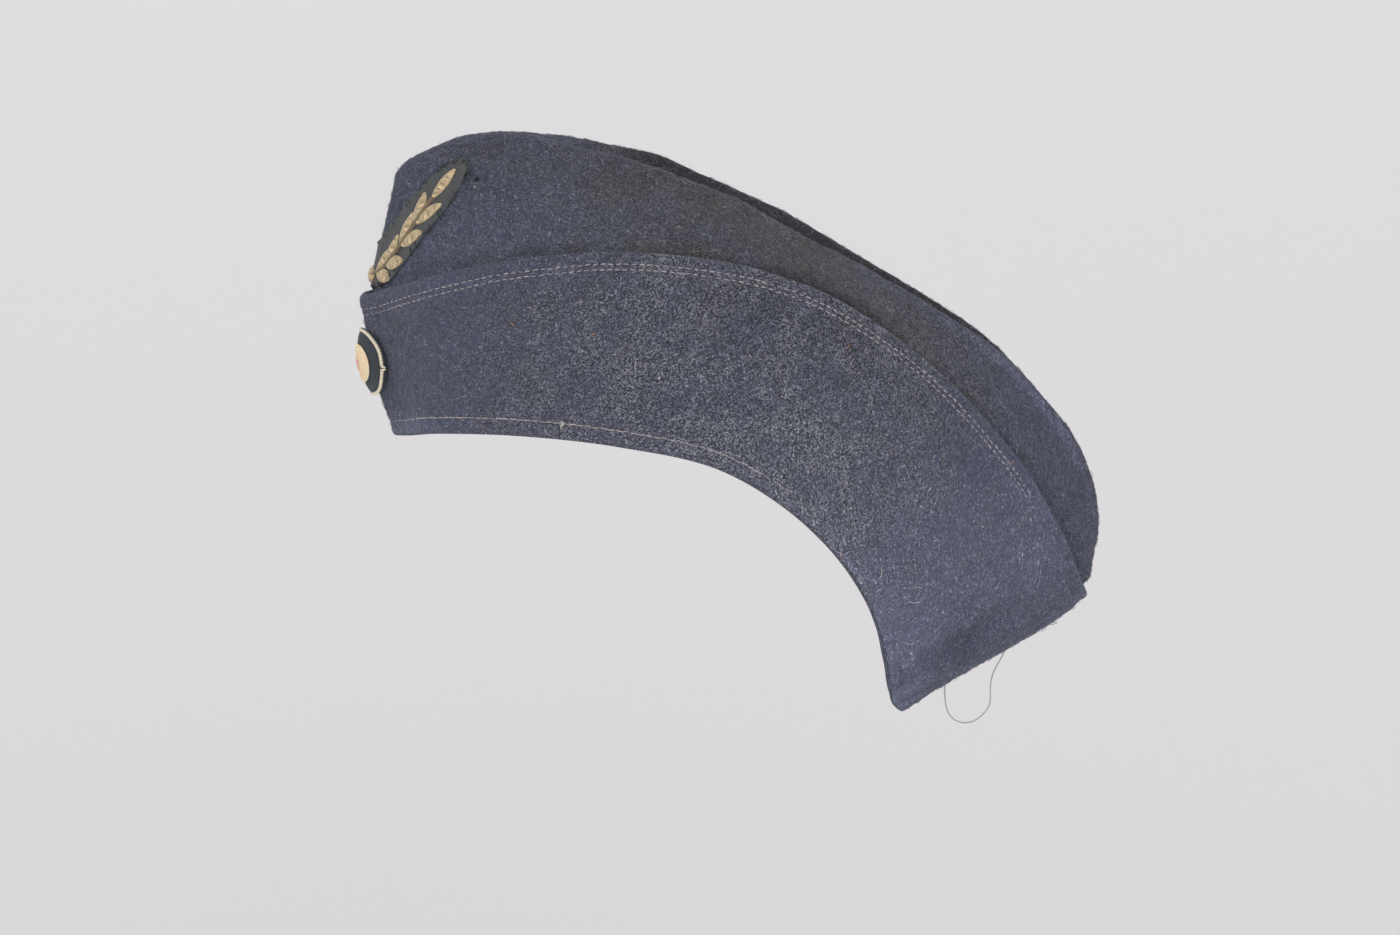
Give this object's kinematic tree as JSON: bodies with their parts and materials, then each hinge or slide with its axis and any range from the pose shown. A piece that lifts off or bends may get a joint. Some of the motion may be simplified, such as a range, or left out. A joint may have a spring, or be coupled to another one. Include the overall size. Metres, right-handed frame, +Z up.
{
  "type": "side cap",
  "caption": "Soft wool side cap with a turned-up flap, a valley between two ridges along its top, a leaf badge and a round cockade, kept in the form it has on a head.",
  "frame": {"origin": "midway between the front and the back end of the rim, in the middle plane, where a head goes in", "axes": "+Z up as on an upright head, -Y to the front of the cap, +X to the wearer's left; the cap leans back 28.5 degrees as it is worn"},
  "size_m": [0.124, 0.2704, 0.2135],
  "materials": {
    "wool_crown": "blue-grey wool cloth with a short curly nap, soiled",
    "wool_flap": "blue-grey wool cloth with a short curly nap",
    "badge_cloth": "grey-green felted cloth",
    "cream_thread": "cream cotton embroidery and stitching thread",
    "dark_felt": "blue-black felted wool",
    "cream_cord": "twisted cream cord",
    "cream_felt": "cream wound thread",
    "red_felt": "faded red wound thread"
  },
  "bodies": {
    "root": {"crown_left": "wool_crown", "crown_right": "wool_crown", "flap_left": "wool_flap", "flap_right": "wool_flap", "badge_backing": "badge_cloth", "badge_spray": "cream_thread", "cockade_base": "dark_felt", "cockade_cord": "cream_cord", "cockade_disc": "cream_felt", "cockade_centre": "red_felt"}
  },
  "joints": []
}
